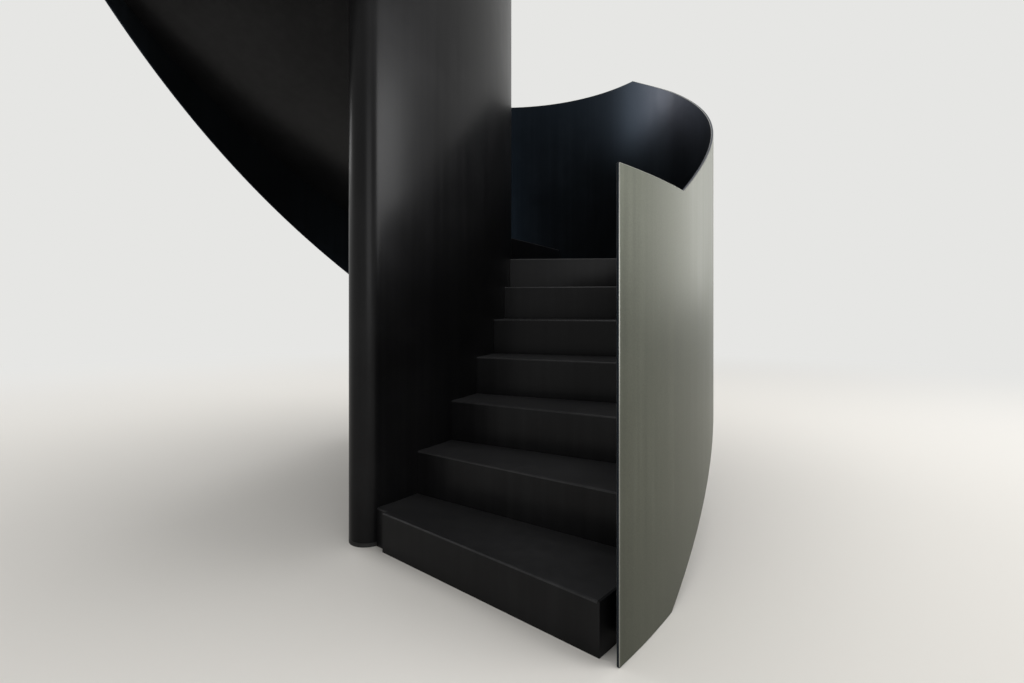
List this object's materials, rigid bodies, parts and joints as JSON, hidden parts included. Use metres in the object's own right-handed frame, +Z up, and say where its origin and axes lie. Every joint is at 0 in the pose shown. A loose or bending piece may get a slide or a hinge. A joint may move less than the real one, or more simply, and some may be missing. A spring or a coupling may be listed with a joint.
{
  "type": "spiral staircase",
  "caption": "Sculptural spiral stair of blackened steel plate wound round a hollow lens-shaped core, with folded steps, a smooth soffit and a solid curved outer guard.",
  "frame": {"origin": "on the floor at the middle of the hollow core's foot plate", "axes": "+Z up, +Y along the long axis of the core towards the nose at the landing, +X towards the lower flight"},
  "size_m": [2.5734, 3.7598, 4.0387],
  "materials": {
    "core_steel": "satin",
    "step_steel": "satin",
    "soffit_steel": "satin",
    "guard_steel": "satin",
    "hidden_steel": "matte"
  },
  "bodies": {
    "root": {"core_right_wall": "core_steel", "core_back_nose": "core_steel", "core_left_wall": "core_steel", "core_front_nose": "core_steel", "core_cap": "core_steel", "core_foot_plate": "hidden_steel", "top_flange": "hidden_steel", "step_01": "step_steel", "step_02": "step_steel", "step_03": "step_steel", "step_04": "step_steel", "step_05": "step_steel", "step_06": "step_steel", "step_07": "step_steel", "step_08": "step_steel", "step_09": "step_steel", "step_10": "step_steel", "step_11": "step_steel", "step_12": "step_steel", "step_13": "step_steel", "step_14": "step_steel", "step_15": "step_steel", "step_16": "step_steel", "step_17": "step_steel", "soffit_right": "soffit_steel", "soffit_back": "soffit_steel", "soffit_left": "soffit_steel", "soffit_front": "soffit_steel", "guard_right_1": "guard_steel", "guard_right_2": "guard_steel", "guard_right_3": "guard_steel", "guard_back_1": "guard_steel", "guard_back_2": "guard_steel", "guard_back_3": "guard_steel", "guard_back_4": "guard_steel", "guard_back_5": "guard_steel", "guard_left_1": "guard_steel", "guard_left_2": "guard_steel", "guard_left_3": "guard_steel", "guard_front_1": "guard_steel", "guard_front_2": "guard_steel", "guard_front_3": "guard_steel"}
  },
  "joints": []
}
